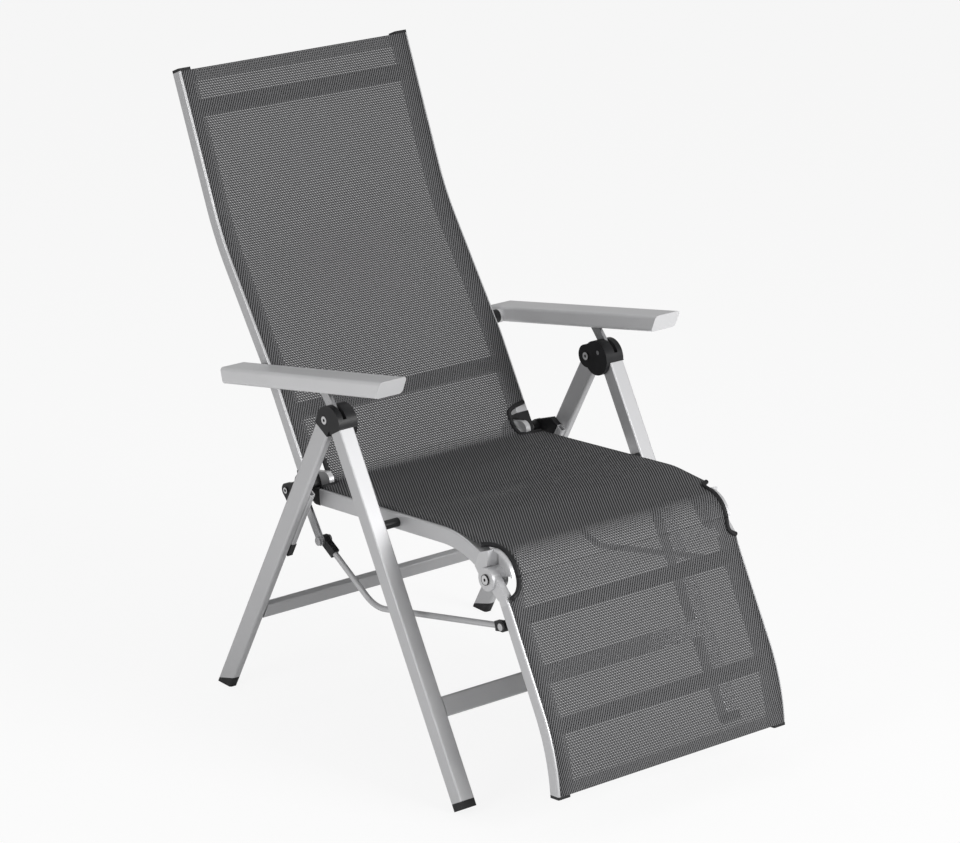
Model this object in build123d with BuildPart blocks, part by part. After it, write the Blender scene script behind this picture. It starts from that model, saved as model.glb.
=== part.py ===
from build123d import *
import os
from math import acos, atan2, cos, degrees, hypot, radians, sin

os.makedirs("parts", exist_ok=True)

# Reclining garden armchair: aluminium side frames, a mesh sling in three runs,
# a back that reclines and carries a leg rest along, and armrests on notched racks.
# The chair faces -Y. Depths are measured back from the front hinge heads' foremost
# corner, heights up from the floor, and reaches outward from the middle plane.

# Middle of the footprint, measured back from the same corner
middle_back = 30.19

# Pivots of the side view
leg_hinge_back = 56
leg_hinge_height = 564
seat_pivot_back = -75
seat_pivot_height = 416
back_pivot_back = 190
back_pivot_height = 402
knee_back = -310
knee_height = 389
lever_pin_back = 135
lever_pin_height = 322
arm_pivot_back = 290
arm_pivot_height = 580

# Reaches of the layers across the chair
rail_reach = 240
rail_width = 25
sling_margin = 4.3
leg_room = 30
front_leg_width = 28
rear_leg_inset = 10
rear_leg_width = 15
arm_overhang = 14
arm_width = 53

# Tubes
front_leg_depth = 28
front_leg_wall = 2
front_leg_corner = 2.5
rear_leg_depth = 35
rear_leg_wall = 1.8
rear_leg_corner = 4.5
seat_rail_depth = 28
back_rail_depth = 22
rail_wall = 1.8
rail_corner = 2.5
bar_wall = 1.5
bar_corner = 3
bar_depth = 14
bar_height = 27

# Front legs, measured from the leg hinge down the leg
front_leg_heading = 239.8
front_leg_setback = 33.7
front_leg_start = 28.3
front_stretcher_start = 483
front_stretcher_height = 33
front_stretcher_depth = 15
front_foot_height = 13
foot_tenon = 18
cap_tenon = 8
floor_flat = 0.6

# Rear legs, measured from the leg hinge down the leg
rear_leg_heading = 298.8
rear_leg_start = 20.5
rear_stretcher_start = 430
rear_stretcher_height = 33
rear_stretcher_depth = 12
rear_sole_angle = 45
rear_sole = 6

# Leg hinge heads
hinge_head_radius = 20
lobe_radius = 30
lobe_back = 31
lobe_height = 566
head_proud = 0.8
ear_width = 10
leg_rivet_radius = 5
leg_rivet_head_radius = 8
leg_rivet_head = 2
rivet_dimple_radius = 2.4

# Arm struts
strut_foot_back = 26
strut_foot_height = 577
strut_heading = 47.5
strut_length = 50.2
strut_width = 18
strut_thickness = 6
strut_pin_radius = 4
strut_tip_radius = 3.5
strut_tip_length = 7.4

# Seat rails
seat_rear_back = 140
seat_rear_height = 396.5
seat_heading = 174.6
seat_straight = 331.5
seat_bend_radius = 190
seat_bend_angle = 28
seat_cap_length = 24
seat_rear_bar_run = 75
seat_front_bar_run = 310
seat_bush_radius = 7.5
seat_bolt_radius = 4
seat_bolt_head_radius = 7
seat_bolt_head = 4

# Hinge between seat and back
back_pin_radius = 5
back_disc_radius = 22
seat_plate_width = 9.5
seat_plate_hump_radius = 14
seat_plate_hump_back = 160
seat_plate_hump_height = 416
seat_plate_tail = 45
back_cap_radius = 19
back_cap_thickness = 4.5
back_washer_radius = 10
back_washer_thickness = 5

# Back rails
back_start_run = 25
back_first_back = 182
back_first_height = 410
back_second_back = 268
back_second_height = 556
back_third_back = 425
back_third_height = 780
back_end_back = 537
back_end_height = 1042
back_lower_bend = 400
back_upper_bend = 500
back_cap_length = 5
lumbar_drop = 50.5
top_bar_drop = 67
back_bar_height = 27

# Recline levers and link rods
lever_width = 17
lever_thickness = 4.5
rod_radius = 5
rod_wall = 1.2
rod_bend_back = -4.4
rod_bend_height = 244
rod_bend_radius = 75
rod_sleeve_radius = 8
rod_sleeve_length = 34
rod_eye_radius = 9
rod_eye_width = 11
rod_bolt_radius = 3.5
rod_bolt_head_radius = 6
rod_bolt_head = 3
lever_bolt_head_radius = 7.5
lever_bolt_head = 4.5
rod_lug_thickness = 5
rod_lug_run = 54.1
rod_lug_reach = 13.2
lock_pin_radius = 1.5
lock_pin_length = 26

# Knee hinge
knee_disc_radius = 19
knee_pin_radius = 5
knee_band_radius = 47
knee_band_thickness = 4
knee_band_first_angle = 88
knee_band_last_angle = 165
knee_plate_width = 13
knee_arm_proud = 5
knee_head_radius = 9
knee_head = 2.5
knee_tongue = 8
knee_flange = 10

# Leg rest
leg_rest_back = -338
leg_rest_height = 378
leg_rest_heading = 240.9
leg_rest_start = 25
leg_rest_straight = 201.5
leg_rest_bend_radius = 330
leg_rest_bend_angle = 23
leg_rest_cap_length = 5
leg_rest_depth = 22
leg_bar_upper_run = 50
leg_bar_lower_run = 230

# Slide carriages on the rear legs
carriage_top_run = 165
carriage_bottom_run = 226
carriage_eye_radius = 12
carriage_plate_width = 10.5
carriage_boss_radius = 11
slide_strip_end = 282
slide_strip_width = 15
slide_end_length = 27
tab_eye_angle = 150
tab_rivet_radius = 6
tab_rivet_head = 2

# Armrests
arm_heading = 168.8
arm_height = 28
arm_rear_drop = 11
arm_rear_run = 24
arm_front_run = 410
arm_front_slant = 19
arm_rear_slant = 2
arm_hollow_margin = 5
arm_lug_thickness = 5
arm_pin_depth = 1.5
arm_wall = 2.2
arm_corner = 6
arm_lug_radius = 12
arm_pin_radius = 5
arm_washer_radius = 9
arm_washer_thickness = 3
rack_width = 13
rack_groove = 8
rack_proud = 2.5
rack_height = 22
rack_start_run = 178
rack_length = 166
rack_roof = 3
rack_tooth_pitch = 14
rack_tooth_radius = 3.8
rack_teeth = 11

# Sling
mesh_thickness = 2
back_mesh_start = 8
seat_mesh_overhang = 6
leg_mesh_start = 17
back_cut_radius = 48
knee_cut_radius = 58
back_cut_reach = 200
knee_cut_reach = 215.5

# Clearances
running_gap = 0.05
side_gap = 0.3
cut_overrun = 5

# Derived places
rail_inner = rail_reach - rail_width
rail_mid = rail_reach - rail_width / 2
front_leg_reach = rail_reach + leg_room + front_leg_width
rear_leg_reach = front_leg_reach - rear_leg_inset
arm_reach = front_leg_reach + arm_overhang
front_leg_inner = front_leg_reach - front_leg_width
front_leg_mid = front_leg_reach - front_leg_width / 2
rear_leg_inner = rear_leg_reach - rear_leg_width
rear_leg_mid = rear_leg_reach - rear_leg_width / 2
arm_inner = arm_reach - arm_width
arm_mid = arm_reach - arm_width / 2
bar_inset = bar_depth / 2 + side_gap

leg_hinge = (leg_hinge_back, leg_hinge_height)
seat_pivot = (seat_pivot_back, seat_pivot_height)
back_pivot = (back_pivot_back, back_pivot_height)
knee = (knee_back, knee_height)
lever_pin = (lever_pin_back, lever_pin_height)
arm_pivot = (arm_pivot_back, arm_pivot_height)


def go(origin, heading, run, left=0):
    """The side-view point a run along a heading from origin, moved to the left of it."""
    turn = radians(heading)
    return (
        origin[0] + run * cos(turn) - left * sin(turn),
        origin[1] + run * sin(turn) + left * cos(turn),
    )


def heading_to(start, end):
    """Heading in degrees from one side-view point to another."""
    return degrees(atan2(end[1] - start[1], end[0] - start[0]))


def distance(start, end):
    """Distance between two side-view points."""
    return hypot(end[0] - start[0], end[1] - start[1])


def layer(reach):
    """Side-view plane at a reach from the middle of the chair, looking outward."""
    return Plane(origin=(reach, -middle_back, 0), x_dir=(0, 1, 0), z_dir=(1, 0, 0))


def across(point, heading, reach):
    """Plane square to a heading at a side-view point: x outward, y to the right."""
    turn = radians(heading)
    origin = (reach, point[0] - middle_back, point[1])
    return Plane(origin=origin, x_dir=(1, 0, 0), z_dir=(0, cos(turn), sin(turn)))


def tube(width, depth, wall, corner):
    """Hollow rounded section of an extruded tube, drawn in the sketch it is called in."""
    RectangleRounded(width, depth, corner)
    RectangleRounded(width - 2 * wall, depth - 2 * wall, corner - wall / 2, mode=Mode.SUBTRACT)


def plug(width, depth, wall, corner):
    """Section of a plug that fits loosely inside such a tube."""
    play = 2 * wall + 2 * side_gap
    RectangleRounded(width - play, depth - play, corner - wall / 2)


def other_side(piece):
    """The same piece on the right-hand side."""
    with BuildPart() as twin:
        mirror(piece.part, about=Plane.YZ)
    return twin


def both_sides(piece):
    """A left-hand piece together with its right-hand twin."""
    with BuildPart() as pair:
        add(piece.part)
        mirror(piece.part, about=Plane.YZ)
    return pair


# Front legs
front_leg_top = go(leg_hinge, front_leg_heading, front_leg_start, -front_leg_setback)
front_leg_rear = front_leg_setback - front_leg_depth / 2
floor_run = (
    leg_hinge_height + front_leg_rear * sin(radians(270 - front_leg_heading))
) / -sin(radians(front_leg_heading))
front_foot_end = floor_run + floor_flat - front_leg_start
front_leg_length = front_foot_end - front_foot_height
front_leg_foot = go(front_leg_top, front_leg_heading, front_leg_length)

with BuildPart() as front_leg_left:
    with BuildSketch(across(front_leg_top, front_leg_heading, front_leg_mid)):
        tube(front_leg_width, front_leg_depth, front_leg_wall, front_leg_corner)
    extrude(amount=front_leg_length)
    with BuildSketch(layer(front_leg_inner - cut_overrun)):
        with Locations(seat_pivot):
            Circle(seat_bolt_radius + running_gap)
    extrude(amount=front_leg_wall + 2 * cut_overrun, mode=Mode.SUBTRACT)

front_leg_right = other_side(front_leg_left)

# Foot plugs: a square block under the tube with a tenon inside it, flat where it stands
with BuildPart() as front_foot:
    with BuildSketch(across(front_leg_foot, front_leg_heading, front_leg_mid)):
        RectangleRounded(front_leg_width, front_leg_depth, front_leg_corner)
    extrude(amount=front_foot_height)
    with BuildSketch(across(front_leg_foot, front_leg_heading, front_leg_mid)):
        plug(front_leg_width, front_leg_depth, front_leg_wall, front_leg_corner)
    extrude(amount=-foot_tenon)
    split(bisect_by=Plane.XY, keep=Keep.TOP)

front_feet = both_sides(front_foot)

# Stretcher between the front legs, flush with their front faces
front_stretcher_mid = go(
    front_leg_top,
    front_leg_heading,
    front_stretcher_start - front_leg_start + front_stretcher_height / 2,
    front_stretcher_depth / 2 - front_leg_depth / 2,
)
with BuildPart() as front_stretcher:
    with BuildSketch(layer(-front_leg_inner)):
        with Locations(Location(front_stretcher_mid, front_leg_heading)):
            tube(front_stretcher_height, front_stretcher_depth, bar_wall, bar_corner)
    extrude(amount=2 * front_leg_inner)

# Hinge heads: a plastic fork over the leg top with two lobes round the arm strut,
# hollowed round the rear leg's head and closed by an ear on the inner side
ear_inner = rear_leg_inner - ear_width - side_gap - head_proud
ear_outer = ear_inner + ear_width
lobe_centre = (lobe_back, lobe_height)
head_rear = front_leg_setback - front_leg_depth / 2 - head_proud
strut_foot = (strut_foot_back, strut_foot_height)
strut_inner = (ear_outer + front_leg_reach - strut_thickness) / 2
strut_pin_outer = front_leg_reach - front_leg_wall
head_block = [
    go(front_leg_top, front_leg_heading, 0, -front_leg_depth / 2 - head_proud),
    go(front_leg_top, front_leg_heading, 0, front_leg_depth / 2 + head_proud),
    go(front_leg_top, front_leg_heading, -front_leg_start, front_leg_depth / 2),
    go(front_leg_top, front_leg_heading, -front_leg_start, -front_leg_depth / 2 - head_proud),
]
with BuildPart() as front_hinge_head_left:
    with BuildSketch(layer(ear_inner)):
        with BuildLine():
            Polyline(*head_block, close=True)
        make_face()
        with Locations(lobe_centre):
            Circle(lobe_radius)
        with Locations(leg_hinge):
            Circle(hinge_head_radius)
    extrude(amount=front_leg_reach + head_proud - ear_inner)
    with BuildSketch(layer(ear_outer)):
        with Locations(leg_hinge):
            Circle(hinge_head_radius + 2 * side_gap)
    extrude(amount=front_leg_reach, mode=Mode.SUBTRACT)
    with BuildSketch(layer(front_leg_inner)):
        with Locations(Location(go(front_leg_top, front_leg_heading, lobe_radius), front_leg_heading)):
            Rectangle(2 * lobe_radius, 4 * lobe_radius)
    extrude(amount=front_leg_reach, mode=Mode.SUBTRACT)
    with BuildSketch(layer(ear_outer)):
        behind = go(leg_hinge, front_leg_heading, lobe_radius, lobe_radius - head_rear)
        with Locations(Location(behind, front_leg_heading)):
            Rectangle(2 * lobe_radius, 2 * lobe_radius)
    extrude(amount=front_leg_reach, mode=Mode.SUBTRACT)
    slot_mid = go(front_leg_top, front_leg_heading, -front_leg_start - lobe_radius)
    with BuildSketch(layer(strut_inner - side_gap)):
        with Locations(Location(slot_mid, front_leg_heading)):
            Rectangle(2 * front_leg_start + lobe_radius, 4 * lobe_radius)
    extrude(amount=strut_thickness + 2 * side_gap, mode=Mode.SUBTRACT)
    with BuildSketch(layer(ear_inner - cut_overrun)):
        with Locations(leg_hinge):
            Circle(leg_rivet_radius)
    extrude(amount=arm_reach, mode=Mode.SUBTRACT)
    with BuildSketch(layer(ear_inner - cut_overrun)):
        with Locations(strut_foot):
            Circle(strut_pin_radius)
    extrude(amount=strut_pin_outer - ear_inner + cut_overrun, mode=Mode.SUBTRACT)
    with BuildSketch(across(front_leg_top, front_leg_heading, front_leg_mid)):
        plug(front_leg_width, front_leg_depth, front_leg_wall, front_leg_corner)
    extrude(amount=foot_tenon)

front_hinge_head_right = other_side(front_hinge_head_left)

# Arm struts: flat bars pinned in the heads, with a cross pin at the tip
strut_tip = go(strut_foot, strut_heading, strut_length)
strut_middle = go(strut_foot, strut_heading, strut_length / 2)
with BuildPart() as arm_strut:
    with BuildSketch(layer(strut_inner)):
        with Locations(strut_middle):
            SlotOverall(strut_length + strut_width, strut_width, rotation=strut_heading)
    extrude(amount=strut_thickness)
    with BuildSketch(layer(ear_inner + head_proud)):
        with Locations(strut_foot):
            Circle(strut_pin_radius)
    extrude(amount=strut_pin_outer - ear_inner - head_proud)
    with BuildSketch(layer(strut_inner + strut_thickness / 2 - strut_tip_length / 2)):
        with Locations(strut_tip):
            Circle(strut_tip_radius)
    extrude(amount=strut_tip_length)

arm_struts = both_sides(arm_strut)

# Rear legs
# The tube's foot end is cut slantwise; its rear lower corner stands on the floor
rear_leg_top = go(leg_hinge, rear_leg_heading, rear_leg_start)
rear_half_rise = rear_leg_depth / 2 * cos(radians(rear_leg_heading))
rear_floor_run = (leg_hinge_height + rear_half_rise + floor_flat) / -sin(radians(rear_leg_heading))
rear_corner = go(leg_hinge, rear_leg_heading, rear_floor_run, rear_leg_depth / 2)
sole_heading = rear_leg_heading + 180 + rear_sole_angle
sole_edge = go(rear_corner, sole_heading, 0, -rear_sole)
sole_plane = Plane(
    origin=(rear_leg_mid, sole_edge[0] - middle_back, sole_edge[1]),
    x_dir=(1, 0, 0),
    z_dir=(0, -sin(radians(sole_heading)), cos(radians(sole_heading))),
)

with BuildPart() as rear_leg_left:
    with BuildSketch(across(rear_leg_top, rear_leg_heading, rear_leg_mid)):
        tube(rear_leg_width, rear_leg_depth, rear_leg_wall, rear_leg_corner)
    extrude(amount=rear_floor_run - rear_leg_start)
    split(bisect_by=sole_plane, keep=Keep.BOTTOM)

rear_leg_right = other_side(rear_leg_left)

# Soles: the same outline carried on below the slanted cut
with BuildPart() as rear_sole_block:
    with BuildSketch(across(rear_leg_top, rear_leg_heading, rear_leg_mid)):
        RectangleRounded(rear_leg_width, rear_leg_depth, rear_leg_corner)
    extrude(amount=rear_floor_run - rear_leg_start)
    split(bisect_by=sole_plane, keep=Keep.TOP)
    split(bisect_by=Plane.XY, keep=Keep.TOP)

rear_feet = both_sides(rear_sole_block)

rear_stretcher_mid = go(
    leg_hinge,
    rear_leg_heading,
    rear_stretcher_start + rear_stretcher_height / 2,
    rear_stretcher_depth / 2 - rear_leg_depth / 2,
)
with BuildPart() as rear_stretcher:
    with BuildSketch(layer(-rear_leg_inner)):
        with Locations(Location(rear_stretcher_mid, rear_leg_heading)):
            tube(rear_stretcher_height, rear_stretcher_depth, bar_wall, bar_corner)
    extrude(amount=2 * rear_leg_inner)

# Hinge heads of the rear legs: a round boss inside the front fork, capping the leg
rear_head_outer = rear_leg_reach + head_proud
with BuildPart() as rear_hinge_head_left:
    with BuildSketch(layer(ear_outer + side_gap)):
        with Locations(leg_hinge):
            Circle(hinge_head_radius)
        with Locations(Location(go(leg_hinge, rear_leg_heading, rear_leg_start / 2), rear_leg_heading)):
            Rectangle(rear_leg_start, rear_leg_depth + 2 * head_proud)
    extrude(amount=rear_head_outer - ear_outer - side_gap)
    with BuildSketch(layer(ear_outer)):
        with Locations(leg_hinge):
            Circle(leg_rivet_radius + running_gap)
    extrude(amount=arm_width, mode=Mode.SUBTRACT)
    with BuildSketch(layer(rear_head_outer - leg_rivet_head / 2)):
        with Locations(leg_hinge):
            Circle(leg_rivet_head_radius + 2 * running_gap)
    extrude(amount=leg_rivet_head, mode=Mode.SUBTRACT)
    with BuildSketch(across(rear_leg_top, rear_leg_heading, rear_leg_mid)):
        plug(rear_leg_width, rear_leg_depth, rear_leg_wall, rear_leg_corner)
    extrude(amount=foot_tenon)

rear_hinge_head_right = other_side(rear_hinge_head_left)

with BuildPart() as leg_rivet:
    with BuildSketch(layer(ear_inner)):
        with Locations(leg_hinge):
            Circle(leg_rivet_radius)
    extrude(amount=rear_head_outer - leg_rivet_head / 2 + running_gap - ear_inner)
    with BuildSketch(layer(rear_head_outer - leg_rivet_head / 2 + running_gap)):
        with Locations(leg_hinge):
            Circle(leg_rivet_head_radius)
    extrude(amount=leg_rivet_head)
    with BuildSketch(layer(rear_head_outer - leg_rivet_head / 2)):
        with Locations(leg_hinge):
            Circle(rivet_dimple_radius)
    extrude(amount=2 * leg_rivet_head, mode=Mode.SUBTRACT)
    with BuildSketch(layer(ear_inner)):
        with Locations(leg_hinge):
            Circle(leg_rivet_head_radius)
    extrude(amount=-leg_rivet_head)

leg_hinge_rivets = both_sides(leg_rivet)

# Slide carriages
carriage_plate_outer = rear_leg_inner - side_gap
carriage_plate_inner = carriage_plate_outer - carriage_plate_width
boss_inner = rail_reach + 2 * side_gap + lever_thickness + back_washer_thickness
leg_rear_face = rear_leg_depth / 2
plate_run = (carriage_top_run + carriage_bottom_run) / 2
plate_depth = rear_leg_depth - slide_strip_width + side_gap
plate_left = leg_rear_face + side_gap - plate_depth / 2
with BuildPart() as slide_carriage_left:
    with BuildSketch(layer(carriage_plate_inner)):
        plate_spot = go(leg_hinge, rear_leg_heading, plate_run, plate_left)
        with Locations(Location(plate_spot, rear_leg_heading)):
            Rectangle(carriage_bottom_run - carriage_top_run, plate_depth)
        tab_top = go(leg_hinge, rear_leg_heading, carriage_top_run, leg_rear_face + side_gap)
        tab_low = go(leg_hinge, rear_leg_heading, carriage_bottom_run, leg_rear_face + side_gap)
        with BuildLine():
            tab_eye = CenterArc(back_pivot, carriage_eye_radius, rear_leg_heading, tab_eye_angle)
            Line(tab_eye @ 1, tab_top)
            Line(tab_top, tab_low)
            Line(tab_low, tab_eye @ 0)
        make_face()
    extrude(amount=carriage_plate_width)
    with BuildSketch(layer(boss_inner)):
        with Locations(back_pivot):
            Circle(carriage_boss_radius)
    extrude(amount=carriage_plate_inner - boss_inner)
    with BuildSketch(layer(boss_inner)):
        with Locations(back_pivot):
            Circle(back_pin_radius)
    extrude(amount=arm_width, mode=Mode.SUBTRACT)

slide_carriage_right = other_side(slide_carriage_left)

with BuildPart() as tab_rivet:
    with BuildSketch(layer(boss_inner)):
        with Locations(back_pivot):
            Circle(back_pin_radius)
    extrude(amount=carriage_plate_outer - boss_inner)
    with BuildSketch(layer(carriage_plate_outer)):
        with Locations(back_pivot):
            Circle(tab_rivet_radius)
    extrude(amount=tab_rivet_head)
    with BuildSketch(layer(carriage_plate_outer)):
        with Locations(back_pivot):
            Circle(rivet_dimple_radius)
    extrude(amount=2 * tab_rivet_head, mode=Mode.SUBTRACT)

carriage_rivets = both_sides(tab_rivet)

# Slide strips: rounded bars beside the carriages on the legs' inner faces, each with a wedge tip
strip_left = slide_strip_width / 2 - rear_leg_depth / 2
with BuildPart() as slide_strip:
    strip_top = go(leg_hinge, rear_leg_heading, carriage_top_run, strip_left)
    strip_middle = carriage_plate_inner + carriage_plate_width / 2
    with BuildSketch(across(strip_top, rear_leg_heading, strip_middle)):
        tube(carriage_plate_width, slide_strip_width, bar_wall, bar_corner)
    extrude(amount=slide_strip_end - carriage_top_run)

slide_strips = both_sides(slide_strip)

with BuildPart() as slide_tip:
    tip_start = go(leg_hinge, rear_leg_heading, slide_strip_end, 0)
    front = -rear_leg_depth / 2
    with BuildSketch(layer(carriage_plate_inner)):
        with BuildLine():
            Polyline(
                go(tip_start, rear_leg_heading, 0, front),
                go(tip_start, rear_leg_heading, slide_end_length, front),
                go(tip_start, rear_leg_heading, slide_end_length, front + slide_strip_width / 4),
                go(tip_start, rear_leg_heading, 0, front + slide_strip_width),
                close=True,
            )
        make_face()
    extrude(amount=carriage_plate_width)
    with BuildSketch(
        across(go(tip_start, rear_leg_heading, 0, strip_left), rear_leg_heading, strip_middle)
    ):
        plug(carriage_plate_width, slide_strip_width, bar_wall, bar_corner)
    extrude(amount=-foot_tenon)

slide_tips = both_sides(slide_tip)

# Seat frame
seat_rear = (seat_rear_back, seat_rear_height)
seat_bend = go(seat_rear, seat_heading, seat_straight)
seat_bend_centre = go(seat_bend, seat_heading, 0, seat_bend_radius)
seat_front_heading = seat_heading + seat_bend_angle
seat_front = go(seat_bend_centre, seat_front_heading, 0, -seat_bend_radius)

with BuildPart() as seat_rail_left:
    with BuildLine(layer(rail_mid)):
        seat_run = Line(seat_rear, seat_bend)
        JernArc(seat_bend, seat_run % 1, seat_bend_radius, seat_bend_angle)
    with BuildSketch(across(seat_rear, seat_heading, rail_mid)):
        tube(rail_width, seat_rail_depth, rail_wall, rail_corner)
    sweep()
    with BuildSketch(layer(rail_inner - cut_overrun)):
        with Locations(seat_pivot):
            Circle(seat_bolt_radius + running_gap)
    extrude(amount=rail_width + 2 * cut_overrun, mode=Mode.SUBTRACT)

seat_rail_right = other_side(seat_rail_left)

with BuildPart() as seat_front_bar:
    with BuildSketch(layer(-rail_inner)):
        bar_spot = go(
            seat_rear, seat_heading, seat_front_bar_run, seat_rail_depth / 2 - bar_depth / 2
        )
        with Locations(Location(bar_spot, seat_heading)):
            tube(bar_height, bar_depth, bar_wall, bar_corner)
    extrude(amount=2 * rail_inner)

with BuildPart() as seat_rear_bar:
    with BuildSketch(layer(-rail_inner)):
        bar_spot = go(
            seat_rear, seat_heading, seat_rear_bar_run, seat_rail_depth / 2 - bar_depth / 2
        )
        with Locations(Location(bar_spot, seat_heading)):
            tube(bar_height, bar_depth, bar_wall, bar_corner)
    extrude(amount=2 * rail_inner)

# Rounded caps closing the rear ends of the seat rails
with BuildPart() as seat_cap:
    with BuildSketch(layer(rail_inner)):
        cap_top = go(seat_rear, seat_heading, 0, -seat_rail_depth / 2)
        cap_low = go(seat_rear, seat_heading, 0, seat_rail_depth / 2)
        cap_straight = seat_rail_depth / 2 - seat_cap_length
        cap_bend_top = go(seat_rear, seat_heading, cap_straight, -seat_rail_depth / 2)
        cap_bend_low = go(seat_rear, seat_heading, cap_straight, seat_rail_depth / 2)
        cap_tip = go(seat_rear, seat_heading, -seat_cap_length)
        with BuildLine():
            Line(cap_top, cap_bend_top)
            ThreePointArc(cap_bend_top, cap_tip, cap_bend_low)
            Polyline(cap_bend_low, cap_low, cap_top)
        make_face()
    extrude(amount=rail_width)
    with BuildSketch(across(seat_rear, seat_heading, rail_mid)):
        plug(rail_width, seat_rail_depth, rail_wall, rail_corner)
    extrude(amount=foot_tenon)

seat_end_caps = both_sides(seat_cap)

# Pivot of the seat on the front legs: a bush between rail and leg, and a bolt
with BuildPart() as seat_bush:
    with BuildSketch(layer(rail_reach + side_gap)):
        with Locations(seat_pivot):
            Circle(seat_bush_radius)
            Circle(seat_bolt_radius, mode=Mode.SUBTRACT)
    extrude(amount=front_leg_inner - rail_reach - side_gap)

seat_pivot_bushes = both_sides(seat_bush)

with BuildPart() as seat_bolt:
    with BuildSketch(layer(rail_inner - side_gap - seat_bolt_head)):
        with Locations(seat_pivot):
            RegularPolygon(seat_bolt_head_radius, 6)
    extrude(amount=seat_bolt_head)
    with BuildSketch(layer(rail_inner - side_gap)):
        with Locations(seat_pivot):
            Circle(seat_bolt_radius)
    extrude(amount=front_leg_inner + 2 * front_leg_wall - rail_inner + side_gap)

seat_pivot_bolts = both_sides(seat_bolt)

# Seat and back hinge
plate_inner = rail_inner - seat_plate_width - side_gap
hump = (seat_plate_hump_back, seat_plate_hump_height)
hump_heading = heading_to(back_pivot, hump)
tail_middle = go(seat_rear, seat_heading, seat_plate_tail / 2 - back_disc_radius / 2)
with BuildPart() as seat_hinge_plate:
    with BuildSketch(layer(plate_inner)):
        with Locations(back_pivot):
            Circle(back_disc_radius)
        with Locations(hump):
            Circle(seat_plate_hump_radius)
        with BuildLine():
            Polyline(
                go(back_pivot, hump_heading, 0, back_disc_radius),
                go(back_pivot, hump_heading, 0, -back_disc_radius),
                go(hump, hump_heading, 0, -seat_plate_hump_radius),
                go(hump, hump_heading, 0, seat_plate_hump_radius),
                close=True,
            )
        make_face()
        with Locations(Location(tail_middle, seat_heading)):
            Rectangle(seat_plate_tail + back_disc_radius, seat_rail_depth - 2 * rail_corner)
    extrude(amount=rail_inner - plate_inner)
    with BuildSketch(layer(rail_inner - side_gap)):
        with Locations(back_pivot):
            Circle(distance(back_pivot, seat_rear))
    extrude(amount=rail_width, mode=Mode.SUBTRACT)
    with BuildSketch(layer(plate_inner)):
        with Locations(back_pivot):
            Circle(back_pin_radius + running_gap)
    extrude(amount=rail_width, mode=Mode.SUBTRACT)

seat_hinge_plates = both_sides(seat_hinge_plate)

back_first = (back_first_back, back_first_height)
back_second = (back_second_back, back_second_height)
back_third = (back_third_back, back_third_height)
back_end = (back_end_back, back_end_height)
back_heading = heading_to(back_first, back_second)
back_end_heading = heading_to(back_third, back_end)
back_start = go(back_first, back_heading, back_start_run)
bracket_front = go(back_pivot, back_heading, 0, back_disc_radius)
bracket_rear = go(back_pivot, back_heading, 0, -back_disc_radius / 2)
back_half = back_rail_depth / 2

with BuildPart() as back_hinge_bracket:
    with BuildSketch(layer(rail_inner + side_gap)):
        with Locations(back_pivot):
            Circle(back_disc_radius)
        with BuildLine():
            Polyline(
                bracket_front,
                go(back_start, back_heading, 0, back_half),
                go(back_start, back_heading, 0, -back_half),
                bracket_rear,
                close=True,
            )
        make_face()
    extrude(amount=rail_width - side_gap)
    with BuildSketch(layer(rail_reach)):
        with Locations(back_pivot):
            Circle(lever_width / 2)
    extrude(amount=side_gap)
    with BuildSketch(across(back_start, back_heading, rail_mid)):
        plug(rail_width, back_rail_depth, rail_wall, rail_corner)
    extrude(amount=foot_tenon)
    with BuildSketch(layer(rail_inner)):
        with Locations(back_pivot):
            Circle(back_pin_radius + running_gap)
    extrude(amount=arm_width, mode=Mode.SUBTRACT)

back_hinge_brackets = both_sides(back_hinge_bracket)

# Levers fixed to the back's brackets, reaching down to the link rods
lever_inner = rail_reach + side_gap
lever_outer = lever_inner + lever_thickness
lever_run = distance(back_pivot, lever_pin)
lever_heading = heading_to(back_pivot, lever_pin)
with BuildPart() as recline_lever:
    with BuildSketch(layer(lever_inner)):
        with Locations(Location(go(back_pivot, lever_heading, lever_run / 2), lever_heading)):
            SlotCenterToCenter(lever_run, lever_width)
        with Locations(back_pivot):
            Circle(back_pin_radius + running_gap, mode=Mode.SUBTRACT)
        with Locations(lever_pin):
            Circle(rod_bolt_radius + running_gap, mode=Mode.SUBTRACT)
    extrude(amount=lever_thickness)

recline_levers = both_sides(recline_lever)

# Hinge pins with a broad inner cap and an outer washer
with BuildPart() as back_pin:
    with BuildSketch(layer(plate_inner - back_cap_thickness)):
        with Locations(back_pivot):
            Circle(back_cap_radius)
    extrude(amount=back_cap_thickness - running_gap)
    with BuildSketch(layer(plate_inner - back_cap_thickness)):
        with Locations(back_pivot):
            Circle(back_pin_radius)
    extrude(amount=lever_outer + back_washer_thickness - plate_inner + back_cap_thickness)
    with BuildSketch(layer(lever_outer + running_gap)):
        with Locations(back_pivot):
            Circle(back_washer_radius)
    extrude(amount=back_washer_thickness - running_gap)

back_hinge_pins = both_sides(back_pin)

# Back frame
with BuildPart() as back_rail_left:
    with BuildLine(layer(rail_mid)):
        FilletPolyline(
            back_start,
            back_second,
            back_third,
            back_end,
            radius=[back_lower_bend, back_upper_bend],
        )
    with BuildSketch(across(back_start, back_heading, rail_mid)):
        tube(rail_width, back_rail_depth, rail_wall, rail_corner)
    sweep()
    with BuildSketch(layer(rail_mid)):
        with Locations(arm_pivot):
            Circle(arm_pin_radius + running_gap)
    extrude(amount=rail_width, mode=Mode.SUBTRACT)

back_rail_right = other_side(back_rail_left)

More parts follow.
